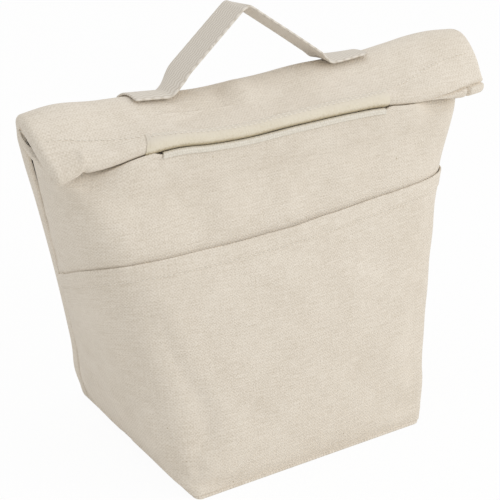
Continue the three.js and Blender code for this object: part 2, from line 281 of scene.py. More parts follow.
def loopPile(add, place):
    s = loopLook
    tufts = add("TexNoise", {"Scale": 1 / s["tuft"], "Detail": 3.0, "Roughness": 0.65})
    patch = add("TexNoise", {"Scale": 1 / s["patch"], "Detail": 2.0})
    tone = add("Math MULTIPLY_ADD", [patch, 0.5, tufts])
    loops = add("ValToRGB", [tone], [(0.3, s["ground"]), (1.0, s["pale"]), (0.62, s["colour"])])
    # The sewn border has hardly any pile. The fold's underside is browned: a little fluff caught in the pile
    # and, mostly, painted shade of the gap against the hook tape
    down = add("SeparateXYZ", [place]).outputs["Y"]
    bare = add("MapRange", [down, 1.0, s["borderEnds"], 1.0, 0.0])
    edged = add("Mix RGBA", {0: bare, 6: loops, 7: s["border"]})
    ragged = add("Math MULTIPLY_ADD", [tufts, 5.0, down])
    begun = add("MapRange", [ragged, s["fuzzShadeStarts"] + 2.0, s["fuzzShadeStarts"] + 4.5, 0.0, s["fuzzShadeShow"]])
    ended = add("MapRange", [down, s["fuzzShadeEnds"] - 1.5, s["fuzzShadeEnds"] + 1.5, 1.0, 0.0])
    fuzzAndShade = add("Math MULTIPLY", [begun, ended])
    return {"Base Color": add("Mix RGBA", {0: fuzzAndShade, 6: edged, 7: s["fuzzShade"]}), "Roughness": 1.0,
            "Normal": add("Bump", {"Height": tufts, "Strength": 0.8, "Distance": 0.0006}),
            "Specular IOR Level": 0.15, "Sheen Weight": 0.3}


# Nylon hook tape, woven with cut monofilament hooks: paler than the cloth, faintly glossy dots in rows
hookLook = dict(colour="#ECE6DA", gap="#CFC7B6", pitch=1.6)


def nylonHooks(add, place):
    s = hookLook
    dots = add("TexVoronoi", {"Scale": 1 / s["pitch"], "Randomness": 0.35})
    return {"Base Color": add("Mix RGBA", {0: dots, 6: s["colour"], 7: s["gap"]}), "Roughness": 0.5,
            "Normal": add("Bump", {"Height": dots, "Strength": 0.6, "Distance": 0.0006}, invert=True)}


# Spun cotton thread: two plies that twist, a touch paler than the cloth
threadLook = dict(colour="#FAF5EB", shade="#E8DFD0", twist=1.2)


def cottonThread(add, place):
    s = threadLook
    twist = add("TexWave", {"Scale": 1 / s["twist"], "Distortion": 0.6},
                bands_direction="DIAGONAL").outputs["Fac"]
    return {"Base Color": add("Mix RGBA", {0: twist, 6: s["shade"], 7: s["colour"]}),
            "Normal": add("Bump", {"Height": twist, "Strength": 0.4, "Distance": 0.0002}), "Roughness": 0.85}


canvas, film, foam, webbing, pile, hooks, thread = (newLook(make) for make in (
    cottonCanvas, metallisedFilm, closedCellFoam, cottonWebbing, loopPile, nylonHooks, cottonThread))
print("materials made")


# Meshes. Every sheet is closed: an outer face, an inner face and a rounded rim between them.
def newMesh(name, points, faces):
    mesh = bpy.data.meshes.new(name)
    mesh.from_pydata(points, [], faces)
    return mesh


def addObject(name, data):
    thing = bpy.data.objects.new(name, data)
    bpy.context.collection.objects.link(thing)
    return thing


def makePiece(name, points, faces, place, looks, faceLooks=None, corners=None):
    mesh = newMesh(name, (points * 0.001).tolist(), faces)
    for look in looks:
        mesh.materials.append(look)
    if faceLooks is not None:
        mesh.polygons.foreach_set("material_index", faceLooks)
    mesh.shade_smooth()
    cloth = mesh.attributes.new("clothPlace", "FLOAT_VECTOR", "POINT")
    cloth.data.foreach_set("vector", np.asarray(place, np.float32).ravel())
    mesh.update()
    if corners is not None:
        mesh.normals_split_custom_set(corners)
    return addObject(name, mesh)


def gridFaces(number):  # four corners of each face, from a grid of vertex numbers
    corners = number[:-1, :-1], number[:-1, 1:], number[1:, 1:], number[1:, :-1]
    return np.stack(corners, -1).reshape(-1, 4)


def tubeFaces(first, rings, count):  # a stack of closed rings, with both ends capped
    number = first + np.arange(rings * count).reshape(rings, count)
    faces = gridFaces(np.column_stack([number, number[:, 0]])).tolist()
    return faces + [number[0, ::-1].tolist(), number[-1].tolist()]


def sheetFaces(base, near, far, fold=0, foldTo=1, inward=None):
    # Faces at two depths below the base grid. Both side edges turn in, or out, by the fold's radius.
    inward = -facing(base) if inward is None else inward
    across = crossRuns(base)[0]
    layers = [base + inward * near], [base + inward * far], [across]
    if fold:
        start, radii = (near, (fold, fold - far + near)) if foldTo > 0 else (far, (fold - far + near, fold))
        for edge, step, way in ((0, 1, -1), (-1, -2, 1)):
            aside, deep = unit(base[:, edge] - base[:, step]), inward[:, edge]
            for angle in np.linspace(0, math.pi / 2, 6)[1:]:
                lines = [base[:, edge] + aside * r * math.sin(angle)
                         + deep * (start + foldTo * (fold - r * math.cos(angle))) for r in radii]
                for layer, line in zip(layers, [*lines, across[:, edge] + way * fold * angle]):
                    layer.insert(0 if edge == 0 else len(layer), line[:, None])
    return [np.concatenate(layer, 1) for layer in layers]


otherSide = 500.0  # the inner face shows another stretch of the cloth's pattern


def clothSheet(name, outer, inner, across, up, looks, rows=None, rimSteps=2):
    # rows picks a stretch of the sheet. Where the stretch is cut inside the sheet, its end is flat.
    allRows = len(outer)
    first, last = rows or (0, allRows - 1)
    kept = slice(first, last + 1)
    outside, inside = facing(outer)[kept].reshape(-1, 3), -facing(inner)[kept].reshape(-1, 3)
    outer, inner = outer[kept], inner[kept]
    # The rim bulges away from the sheet along every edge that isn't a cut
    edgeWay = np.zeros_like(outer)
    if first == 0:
        edgeWay[0] += unit(outer[0] - outer[1])
    if last == allRows - 1:
        edgeWay[-1] += unit(outer[-1] - outer[-2])
    for edge, step in ((0, 1), (-1, -2)):
        edgeWay[:, edge] += unit(outer[:, edge] - outer[:, step])
    half = (outer - inner) / 2
    bulge = unit(edgeWay) * np.linalg.norm(half, axis=-1, keepdims=True)
    count = across[kept].size
    number = np.arange(count).reshape(half.shape[:2])
    loop = np.concatenate([number[0, :-1], number[:-1, -1], number[-1, :0:-1], number[:0:-1, 0]])
    middle, half, bulge = (grid.reshape(-1, 3)[loop][:, None] for grid in ((outer + inner) / 2, half, bulge))
    angle = math.pi * np.arange(1, rimSteps + 1)[:, None] / (rimSteps + 1)
    rim = middle + half * np.cos(angle) + bulge * np.sin(angle)
    between = 2 * count + np.arange(len(loop) * rimSteps).reshape(-1, rimSteps)
    chain = np.column_stack([loop, between, loop + count])
    quads, rimFaces = gridFaces(number), gridFaces(np.concatenate([chain, chain[:1]]))
    faces = np.concatenate([quads, quads[:, ::-1] + count, rimFaces]).tolist()
    flat = np.stack([across, np.broadcast_to(up, across.shape)], -1)[kept].reshape(-1, 2)
    flat = np.concatenate([flat, flat + otherSide, np.repeat(flat[loop], rimSteps, 0)])
    points = np.concatenate([grid.reshape(-1, 3) for grid in (outer, inner, rim)])
    faceLooks = np.repeat([0, 1, 2], [len(quads), len(quads), len(rimFaces)])
    corners = np.concatenate([outside[quads].reshape(-1, 3), inside[quads[:, ::-1]].reshape(-1, 3),
                              np.zeros((4 * len(rimFaces), 3))])
    return makePiece(name, points, faces, np.column_stack([flat, np.zeros(len(flat))]), looks, faceLooks,
                     corners.tolist())


# Rows of stitches. Each stitch is a short thread that dips into the cloth at both ends.
def stitchRow(name, path, ways, pitch=4.0, length=3.0, width=0.55, lift=0.12, seed=1):
    pick = np.random.default_rng(seed)
    run = lineRun(path)
    rings, sides = 7, 6
    bow = np.sin(np.linspace(0, math.pi, rings))
    turns = polar(np.arange(sides) * 360 / sides)[None, :, :, None]
    points, faces, place = [], [], []
    for start in np.arange(0.4, run[-1] - length, pitch):
        spots = start + length * pick.uniform(0.9, 1.08) * np.linspace(0, 1, rings)
        middle, up = along(spots, run, path), unit(along(spots, run, ways))
        side = np.cross(unit(np.gradient(middle, axis=0)), up)
        thick = width / 2 * (0.45 + 0.55 * np.sqrt(bow)) * pick.uniform(0.92, 1.08)
        middle = middle + up * (lift + (bow[:, None] - 0.6) * width * 0.55)
        ring = (turns * np.stack([side, up], 1)[:, None]).sum(2)
        faces += tubeFaces(len(place), rings, sides)
        points.append((middle[:, None] + thick[:, None, None] * ring).reshape(-1, 3))
        place += [(k * 0.3, spot, 0) for spot in spots for k in range(sides)]
    return makePiece(name, np.concatenate(points), faces, np.array(place), [thread])


# Measures of the bag's body. The hinges and the base come from the frame.
bag = dict(
    sideFlare=0.285, frontLean=0.182, backLean=0.3, cornerAtBase=4.5, backCorner=4, seamSetback=11.5,
    leftCorner=[(0, 4.5), (25, 12), (60, 23), (100, 28), (170, 29), (205, 24), (228, 10), (255, 6)],
    rightCorner=[(0, 3), (50, 13), (90, 20), (120, 25), (170, 30), (205, 25), (228, 14), (255, 6)],
    frontSwell=4, sideSwell=3, canvas=0.7, liner=1.8, tape=1.2, layGap=0.25, linerRoom=1.5,
    wallBottom=2.8, linerBottom=3.05, mouth=240.5, mouthDepth=22.8, shoulderBend=11,
    endRise=13, welt=0.3, footSag=2.2, seamFold=2.4, lipTurn=1.75, lipTuck=9,
    seamGap=[(0, 0.6), (185, 0.6), (215, 0.35), (255, 0.35)], leftFlare=5.5, rightFlare=1.2,
    leftProud=[(0, 0.6), (190, 0.8), (226, 2.4), (250, 2.6)], rightProud=[(0, 0.6), (250, 0.8)])
roll = dict(radius=20.5, centreZ=238, start=3, end=125, rear=24, top=94, flap=30, curl=6.1, hem=18)

hinge = {joint["name"]: np.array(joint["pos_m"]) * 1000 for joint in frame["joints"]}
baseHalf, baseBack = (np.array(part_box("base_canvas")[1]) * 1000)[:2]


def wallHalf(z):
    return baseHalf + bag["sideFlare"] * z


def backY(z):
    return baseBack - bag["backLean"] * z


def footBulge(z):  # the walls stand out a little just above the base
    return bag["welt"] * ease(36, 0, z) * ease(0, 6, z) + bag["footSag"] * hump(z, 30, 17)


rollStartZ = roll["centreZ"] + roll["radius"] * polar(roll["start"])[1]
rollCentre = np.array([backY(rollStartZ) - roll["radius"] * polar(roll["start"])[0], roll["centreZ"]])
flapInward = -polar(roll["end"])
flapDown = np.array([flapInward[1], -flapInward[0]])
flapTop = rollCentre - flapInward * roll["radius"]
flapEnd = flapTop + flapDown * roll["flap"]
curlCentre = flapEnd + flapInward * roll["curl"]
hemFoot = curlCentre + flapInward * roll["curl"]
closureStack = 2 * (bag["tape"] + bag["layGap"]) + 0.3
shoulderLow = hemFoot + flapInward * closureStack
shoulderHigh = shoulderLow - flapDown * roll["hem"]
wallTop = shoulderLow[1] - bag["shoulderBend"]


# The front wall's outline, softened at its bends. Past the mouth it runs on inside the roll's ends.
def frontOutline():
    lip = backY(bag["mouth"]) - bag["mouthDepth"]
    corner = np.array([[-baseBack, 0], [-baseBack + bag["frontLean"] * wallTop, wallTop], shoulderLow,
                       shoulderHigh, [lip, bag["mouth"]], [lip + 1.5, 255]])
    z = np.arange(0, 255.1, 0.5)
    return z, soften(np.interp(z, corner[:, 1], corner[:, 0]), 60)


outlineZ, outlineY = frontOutline()
ringParts = dict(side=40, corner=22, front=90)
cornerEnd = ringParts["side"] + ringParts["corner"]
columnCount = 2 * cornerEnd + ringParts["front"]
column = np.arange(columnCount)
fromEdge = np.minimum(column, columnCount - 1 - column)

wallWave = dict(broad=1.1, broadWave=120, small=0.35, smallWave=46)
sagZ = np.linspace(4, 228, 44)
frontSag = np.zeros((len(sagZ), columnCount))  # filled by the cloth simulation


def sagAt(spots, sag, at):
    return np.array([np.interp(spots, at, line, left=0, right=0) for line in sag.T]).T


def frontWall(zs):
    # Outer face of the front panel, row by row: left seam, left side, front, right side, right seam
    s, v = bag, zs[:, None]
    welt, fill = footBulge(v), np.sin(math.pi * np.clip(v / wallTop, 0, 1))
    front = np.interp(v, outlineZ, outlineY) - welt * 0.6
    sideEnd = backY(v) - s["seamSetback"] - through(s["seamGap"], v) - s["seamFold"]
    half = wallHalf(v) + welt
    part = np.linspace(0, 1, ringParts["side"])
    arcX, arcY = polar(np.linspace(180, 270, ringParts["corner"] + 2)[1:-1]).T
    xs, ys, turns = [], [], []
    for end in ("left", "right"):
        flare = s[end + "Flare"] * ease(214, 238, v)  # the corner reaches out to the ends of the flap
        radius = np.minimum(through(s[end + "Corner"], v), 0.55 * (sideEnd - front))
        turns.append(half + flare - radius)
        side = half + s["sideSwell"] * fill * np.sin(math.pi * part) + flare * ease(0, 0.8, part)
        xs.append(np.concatenate([side, turns[-1] - radius * arcX], 1))
        turnY = front + radius
        ys.append(np.concatenate([sideEnd + (turnY - sideEnd) * part, turnY + radius * arcY], 1))
    part = np.linspace(0, 1, ringParts["front"])
    x = np.concatenate([-xs[0], (turns[1] + turns[0]) * part - turns[0], xs[1][:, ::-1]], 1)
    y = np.concatenate([ys[0], front - s["frontSwell"] * fill * np.sin(math.pi * part), ys[1][:, ::-1]], 1)
    grid = np.stack([x, y, np.broadcast_to(v, x.shape)], -1)
    grid = soften(grid.swapaxes(0, 1), 6).swapaxes(0, 1)  # the corners' ends run softly into the walls
    u, fromSeam = crossRuns(grid)
    hold = ease(0, 40, v) * ease(235, 190, v) * ease(0, 26, fromSeam)
    s = wallWave
    wave = s["broad"] * ripple(u, v, 11, s["broadWave"]) + s["small"] * ripple(u, v, 23, s["smallWave"])
    return grid + facing(grid) * (wave * hold + sagAt(zs, frontSag, sagZ))[..., None]


# The filled walls are slack cloth held at their seams. A short simulation settles them.
slackForm = dict(growth=0.012, tension=15, bending=4, press=1.0, frames=24, mostOut=3.5, mostIn=1.3, scale=10)


def settle(name, wall, *picks):  # picks are spans of the wall's columns that the simulated cloth has
    s = slackForm
    picked = np.unique(np.concatenate([np.arange(*pick) for pick in picks]))
    grid = wall[:, picked]
    number = np.arange(grid[..., 0].size).reshape(grid.shape[:2])
    points = grid.reshape(-1, 3) * 0.001 * s["scale"]
    mesh = newMesh(name, points.tolist(), gridFaces(number).tolist())
    sheet = addObject(name, mesh)
    rim = np.unique(np.concatenate([number[0], number[-1], number[:, 0], number[:, -1]]))
    sheet.vertex_groups.new(name="sewn").add(rim.tolist(), 1.0, "REPLACE")
    cloth = sheet.modifiers.new("cloth", "CLOTH")
    for key, value in dict(vertex_group_mass="sewn", tension_stiffness=s["tension"],
                           compression_stiffness=s["tension"], bending_stiffness=s["bending"],
                           shrink_min=-s["growth"], use_pressure=True,
                           uniform_pressure_force=s["press"]).items():
        setattr(cloth.settings, key, value)
    cloth.collision_settings.use_collision = False
    cloth.point_cache.frame_end = s["frames"]
    scene = bpy.context.scene
    for frameNumber in range(1, s["frames"] + 1):
        scene.frame_set(frameNumber)
    settled = sheet.evaluated_get(bpy.context.evaluated_depsgraph_get()).data
    spots = np.empty(grid.size)
    settled.vertices.foreach_get("co", spots)
    move = spots.reshape(grid.shape) * 1000 / s["scale"] - grid
    scene.frame_set(1)
    bpy.data.objects.remove(sheet)
    bpy.data.meshes.remove(mesh)
    out = (move * facing(grid)).sum(-1)
    print(name, "settled by", out.min().round(2), "to", out.max().round(2))
    most = np.where(out > 0, s["mostOut"], s["mostIn"])
    sag = most * np.tanh(out / most)
    return np.array([np.interp(np.arange(wall.shape[1]), picked, line) for line in sag])


frontEnd = columnCount - cornerEnd
frontSag = settle("slackFront", frontWall(sagZ), (0, cornerEnd, 3), (cornerEnd, frontEnd, 2),
                  (frontEnd + 1, columnCount, 3), (columnCount - 1, columnCount))

# How the roll lies: it sags between its ends, and its lower edge wanders
rollLie = dict(
    crest=[(-170, 1.6), (-146, 4.0), (-112, 1.4), (-52, -3.4), (12, -2.9), (40, -1.2), (60, -1.9),
           (90, -1.4), (111, 0.6), (128, 3.0), (145, 3.6), (170, 1.6)],
    edge=[(-170, -2.2), (-160, -1.4), (-146, 2.6), (-130, 3.2), (-94, 7.2), (-81, 7.6), (-57, 5.2),
          (-35, 4.0), (9, 4.7), (55, 4.6), (74, 3.8), (94, 1.0), (127, -1.0), (147, -3.6), (170, -2.2)],
    leftEnd=[(0, 162.6), (8, 163.8), (16, 165.8), (27, 168.4), (44, 168.4), (62, 166.6), (74, 164.8),
             (84, 164.2), (112, 165.0)],
    rightEnd=[(0, 160.9), (16, 167.0), (27, 170.4), (44, 170.6), (60, 168.8), (74, 165.5), (84, 166.5),
              (112, 168.0)],
    band=[(-300, 11.5), (-20, 11.5), (20, 11.5), (36, 12), (50, 13), (62, 12.4), (70, 9.4), (76, 6.4),
          (86, 4.6), (120, 4.4)], bandTilt=0.18,
    openFrom=(112, 126), openLine=[(100, 12.8), (112, 12.5), (130, 9), (148, 4.2), (172, 3.5)], openDeep=3.4,
    slot=151, slotDeep=4.2, creases=[(-15, 2.2), (-33, -2.8)], creaseReach=8, pleat=-144.5, pleatReach=2.2,
    pleatDeep=1.6)

# The hooks hold the panel's shoulder against the flap's fold: heights on the plain wall, then Y and Z there,
# all from the middle of the fold
heldForm = dict(
    left=(-142, -112), right=(130, 98), low=(-32.6, -20.6), high=(2.7, 0.5), lift=(-29, -10), settle=(8, 0.5),
    bare=2.6, bareLeft=(-91, -99), bareRight=(78, 84),
    shape=[(-32.6, -4.9, -32.6), (-20.6, -5.6, -20.1), (-13.6, -6.4, -11.3), (-10.6, -6.6, -8.2),
           (-9.1, -5.8, -7.1), (-7.6, -2.8, -8.5), (-5.6, 1.0, -9.0), (-3.6, 5.0, -7.6), (-0.6, 12.0, -2.9),
           (2.7, 20.0, 2.7)])


def heldToFold(grid, zs):
    s = heldForm
    x, z = grid[..., 0], zs[:, None] - curlCentre[1]
    held = ease(*s["left"], x) * ease(*s["right"], x)
    part = held * ease(*s["low"], z) * ease(*s["high"], z)
    bare = s["bare"] * (ease(*s["bareLeft"], x) + ease(*s["bareRight"], x))  # no tapes between them there
    lift = held * (through(rollLie["edge"], x) + bare) * ease(*s["lift"], z) * ease(*s["settle"], z)
    shape = np.array(s["shape"])
    y, up = (curlCentre[k] + through(shape[:, [0, k + 1]], z) for k in (0, 1))
    grid = grid.copy()
    grid[..., 1] += part * (y - grid[..., 1])
    grid[..., 2] += part * (up - grid[..., 2]) + lift
    return grid


tableZ = np.arange(0.8, 254, 0.4)
wallTable = frontWall(tableZ)


def onWall(heights):  # places on the front panel's outer face, with a height for each column
    return np.stack([along(heights[:, j], tableZ, wallTable[:, j]) for j in range(columnCount)], 1)


def finish(piece, body, slot, *nodes):
    if body:
        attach(piece, body)
    if nodes:
        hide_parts(*nodes)
    return piece


def bend(piece, one, two, start, end):  # start and end are (Y, Z) places in millimetres
    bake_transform(piece)


# Front panel and its liner. At both ends the panel rises into the roll.
wallRows = spans((bag["wallBottom"], 12, 6), (15, 205, 52), (207, bag["mouth"] - 1.8, 46))
endRise = bag["endRise"] * ease(60, 38, fromEdge)
frontHeights = wallRows[:, None] + endRise[None] * ease(224, bag["mouth"], wallRows)[:, None]
linerGrid = onWall(frontHeights)  # the liner stays back where the hooks pull the canvas out
wallTable = heldToFold(wallTable, tableZ)
frontGrid = onWall(frontHeights)
frontUp = upRun(frontGrid)


def turnOver(outer, inner, across, up, radius, tuck):
    # The top edge turns over to the inside and runs down for a short way
    thick = np.linalg.norm(outer[-1] - inner[-1], axis=-1, keepdims=True)
    deep, climb = unit(inner[-1] - outer[-1]), unit(outer[-1] - outer[-3])
    turns = [(angle, 0) for angle in np.linspace(0, math.pi, 9)[1:]]
    turns += [(math.pi, drop) for drop in np.linspace(0, tuck, 5)[1:]]
    layers = []
    for layer, r in ((outer, radius), (inner, radius - thick)):
        extra = [outer[-1] + climb * (r * math.sin(angle) - drop) + deep * (radius - r * math.cos(angle))
                 for angle, drop in turns]
        layers.append(np.concatenate([layer, extra]))
    across = np.concatenate([across, np.repeat(across[-1:], len(turns), 0)])
    return *layers, across, np.concatenate([up, up[-1] + [[radius * angle + drop] for angle, drop in turns]])


faces = sheetFaces(frontGrid, 0.0, bag["canvas"], fold=bag["seamFold"])
faces = turnOver(*faces, frontUp, bag["lipTurn"], bag["lipTuck"])
frontPanel = clothSheet("frontPanel", *faces, [canvas] * 3)
finish(frontPanel, "bag", "canvas", "front_canvas")

near = bag["canvas"] + bag["layGap"]
linerRows = (wallRows >= bag["linerBottom"]) & (wallRows < bag["mouth"] - 2)
faces = sheetFaces(linerGrid[linerRows][:, 2:-2], near, near + bag["liner"],
                   inward=-facing(linerGrid)[linerRows][:, 2:-2])
frontLiner = clothSheet("frontLiner", *faces, frontUp[linerRows], [foam, film, foam])
finish(frontLiner, "bag", "liner", "front_liner")
print("front panel", len(frontPanel.data.vertices))

# Front pocket: lies on the front panel, with a doubled hem along its mouth, which falls towards the seams
pocketForm = dict(top=166, hem=10.5, fallLeft=36, fallRight=19, fallFrom=60, fallAtCorner=0.54, fallPower=1.8,
                  gap=0.45, leastGap=0.15, easeOut=1.5, hemThick=0.95, seamAbove=0.4, seamPull=0.35,
                  pucker=0.12, mouth=[(-140, 0), (0, 0), (60, 3.4), (140, 7.7)])
s = pocketForm
hemLine = s["top"] - s["hem"]
pocketRows = spans((bag["wallBottom"], 12, 6), (15, 150, 40), (152, 154.2, 3), (154.8, 157.4, 7),
                   (158.2, s["top"], 8))
sideShare = np.interp(fromEdge, (0, ringParts["side"], cornerEnd), (0, s["fallAtCorner"], 1))
pocketRise = through(s["mouth"], onWall(np.full((1, columnCount), float(s["top"])))[0, :, 0])
pocketFall = np.where(column < columnCount // 2, s["fallLeft"], s["fallRight"])
pocketFall = pocketFall * (1 - sideShare) ** s["fallPower"] - pocketRise
v = pocketRows[:, None]
pocketHeights = v - pocketFall[None] * np.clip((v - s["fallFrom"]) / (hemLine - s["fallFrom"]), 0, 1)
pocketGrid = onWall(pocketHeights)
u, fromSeam = crossRuns(pocketGrid)
openness = ease(90, s["top"], v) * ease(70, 150, fromSeam) * (0.7 + 0.45 * ripple(u, v * 0.3, 5, 130))
slack = s["gap"] * (0.4 + 0.6 * ease(60, 130, fromSeam)) + s["easeOut"] * openness
slack = slack + 0.2 * ease(20, 60, v) * (1 + ripple(u, v, 41, 60))
hemSeam = hemLine + s["seamAbove"]
pull = s["seamPull"] * hump(v, hemSeam, 0.9) + s["pucker"] * hump(v, hemSeam, 5) * ripple(u, v * 0, 9, 9)
farSide = -np.maximum(slack - pull, s["leastGap"])[..., None]
thick = bag["canvas"] * (1 + s["hemThick"] * ease(hemLine - 0.4, hemLine + 1.0, v))
faces = sheetFaces(pocketGrid, farSide - thick[..., None], farSide)
pocket = clothSheet("frontPocket", *faces, upRun(pocketGrid), [canvas] * 3, rimSteps=4)
finish(pocket, "bag", "canvas", "front_pocket")
row = nearest(pocketRows, hemSeam)
pocketStitch = stitchRow("pocketHemStitch", faces[0][row, 1:-1], facing(faces[0])[row, 1:-1], pitch=3.6,
                         length=2.9)
finish(pocketStitch, "bag", "canvas")
print("pocket", len(pocket.data.vertices))


# Back panel and rolled top. One path runs up the back wall, over the roll and round to the tucked hem.
def rollPath():
    s = roll
    back = np.linspace(bag["wallBottom"], rollStartZ, 480)
    crown = rollCentre + s["radius"] * polar(np.arange(s["start"], s["end"], 1.4)[1:])
    flap = flapTop + flapDown * np.arange(0, s["flap"], 0.5)[:, None]
    path = np.concatenate([np.stack([backY(back), back], -1), crown, flap])
    straight = 40  # points at the flap's end that stay in line
    path = np.concatenate([soften(path, 130)[:-straight], path[-straight:]])
    curl = curlCentre + s["curl"] * polar(np.arange(s["end"], s["end"] + 180.1, 5))
    hem = hemFoot - flapDown * np.arange(0.6, s["hem"] + 0.1, 0.6)[:, None]
    return np.concatenate([path, curl, hem])


sidePath = rollPath()
pathRun = lineRun(sidePath)


def runAt(spot):  # distance along the path of the place nearest to a point
    return pathRun[nearest(np.linalg.norm(sidePath - spot, axis=1), 0)]


def roundSpot(degrees):
    return rollCentre + roll["radius"] * polar(degrees)


runRoll, runRear, runTop = (runAt(roundSpot(roll[place])) for place in ("start", "rear", "top"))
runFlap, runFold, runHem, runEnd = runAt(flapTop), runAt(flapEnd), runAt(hemFoot), pathRun[-1]


def rollLift(run, x):
    s = rollLie
    toEdge = ease(runFlap + 4, runFold + 12, run)
    lift = through(s["crest"], x) * ease(runRoll - 30, runTop, run) * (1 - toEdge)
    lift = lift + through(s["edge"], x) * toEdge
    lively = ease(runRoll, runTop, run) * (1 - 0.8 * ease(runFold - 8, runFold, run))
    lift = lift + 0.5 * lively * ripple(x, run, 31, 55)
    # A crease runs over the crown beside the handle
    crease = ease(runFlap - 22, runFlap - 7, run) * ease(runFlap + 16, runFlap - 2, run)
    pinch = crease * sum(deep * hump(x, at, s["creaseReach"]) for at, deep in s["creases"])
    # A small pleat notches the flap's lower edge near its left end
    pleat = hump(x, s["pleat"], s["pleatReach"]) * ease(runFold - 12, runFold + 2, run) * s["pleatDeep"]
    return lift + pinch + pleat


def openFold(run, x):  # near its right end the fold gapes, and its lower layer shows under the flap's edge
    s = rollLie
    line = runFold + through(s["openLine"], x)
    gape = s["openDeep"] * hump(run, line, 1.1) * ease(*s["openFrom"], x)
    slot = s["slotDeep"] * hump(x, s["slot"], 1.0) * ease(line, line + 1.5, run)
    return gape + slot * ease(runFold + 17, runFold + 13, run)


def backSheet(runsAt, shares, margin=None):
    # Rows go up the back and over the roll, columns from +X to -X. The outer layer wraps round the ends
    # in a band, which closes the roll's ends and dies out at the fold. A layer with a margin stays flat.
    path, ahead, behind = (along(runsAt + step, pathRun, sidePath) for step in (0, 1, -1))
    run = runsAt[:, None]
    past, height = run - runRoll, np.minimum(path[:, [1]], rollStartZ)
    turned = ease(-20, 5, past)
    inward = unit(np.array([-1.0, 0.0]) * (1 - turned) + unit(ahead - behind)[:, ::-1] * [-1, 1] * turned)
    ends = [np.where(past < 0, wallHalf(height) + through(bag[end + "Proud"], height),
                     through(rollLie[end + "End"], past)) for end in ("right", "left")]
    half = np.where(shares >= 0, *ends) + footBulge(height) * ease(0, -60, past)
    share, depth, quarter = np.abs(shares)[None], np.zeros(half.shape), math.pi / 2
    if margin is not None:
        x = share * (half - margin)
    else:
        radius = bag["backCorner"]
        flat = half - radius
        a = share * (flat + quarter * radius + through(rollLie["band"], past) - radius - bag["seamFold"])
        angle = np.clip((a - flat) / radius, 0, quarter)
        depth = radius * (1 - np.cos(angle)) + np.clip(a - flat - quarter * radius, 0, None)
        tilt = rollLie["bandTilt"] * ease(12, 26, past) * ease(72, 60, past)
        x = np.minimum(a, flat) + radius * np.sin(angle) - tilt * np.clip(depth - 2, 0, None)
    x = np.where(shares >= 0, x, -x)
    depth = depth + openFold(run, x)
    fill = np.where(past < 0, np.sin(math.pi * np.minimum(height / wallTop, 1)), 0)
    bulge = bag["frontSwell"] * fill * np.cos(quarter * np.clip(np.abs(x) / half, 0, 1))
    y = path[:, [0]] + inward[:, [0]] * depth + bulge
    z = path[:, [1]] + inward[:, [1]] * depth + rollLift(run, x)
    wallPart = ease(runRoll - 20, runRoll - 60, run) * ease(0, 30, run)
    wave = wallWave["broad"] * ripple(x, z, 51, 115) + wallWave["small"] * ripple(x, z, 52, 44)
    y = y + wave * ease(1, 0.85, share) * wallPart
    if margin is not None:
        y = y - bag["linerRoom"] * wallPart  # the liner keeps clear of the sagging canvas
    return np.stack([x, y, z], -1)


rollRows = np.unique(spans((0, 10, 6), (14, runRoll - 36, 40), (runRoll - 33, runRoll - 1.5, 20),
                           (runRoll, runRear, 8), (runRear, runTop, 24), (runTop, runFold, 34),
                           (runFold, runHem, 31), (runHem, runEnd, 12)))
nearEnd = np.linspace(0.84, 1, 30)
rollShares = np.concatenate([nearEnd[::-1], np.linspace(0.84, -0.84, 121)[1:-1], -nearEnd])
flatShares = np.linspace(1, -1, 131)

backGrid = backSheet(rollRows, rollShares)
everyOther = slice(1, nearest(rollRows, runRoll - 14), 2)
one, two, count = len(nearEnd), len(rollShares) - len(nearEnd), len(rollShares)
sag = settle("slackBack", backGrid[everyOther], (0, one, 5), (one, two, 3), (two, count, 5),
             (count - 1, count))
backSag = sagAt(rollRows, sag, rollRows[everyOther])
backSag = backSag * ease(0.97, 0.8, np.abs(rollShares))[None]  # the corners keep their place
backGrid = backGrid + facing(backGrid) * backSag[..., None]
backUp = upRun(backGrid)
rowOf = [nearest(rollRows, run) for run in (0, runRear, runTop, runFold, runHem, runEnd)]

# Each stretch lies across one hinge of the roll. Its layers take the place of these CAD pieces.
rearBend = (12.8, 231.5), (10.2, 245)  # Y and Z below and above the crown's rear hinge
stretches = dict(
    rear=("crown_rear_", "bag", "crown_rear", *rearBend),
    top=("crown_top_", "crown_rear", "crown_top", roundSpot(33), roundSpot(60)),
    flap=("flap_", "crown_top", "flap", roundSpot(112), flapTop + flapDown * 4.5),
    fold=None, hem=("hem_",))


def joinStretch(piece, stretch, radius):
    if stretch == "fold":
        bend(piece, "flap", "hem", curlCentre - flapInward * radius, curlCentre + flapInward * radius)
    elif stretch == "hem":
        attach(piece, "hem")
    else:
        bend(piece, *stretches[stretch][1:])


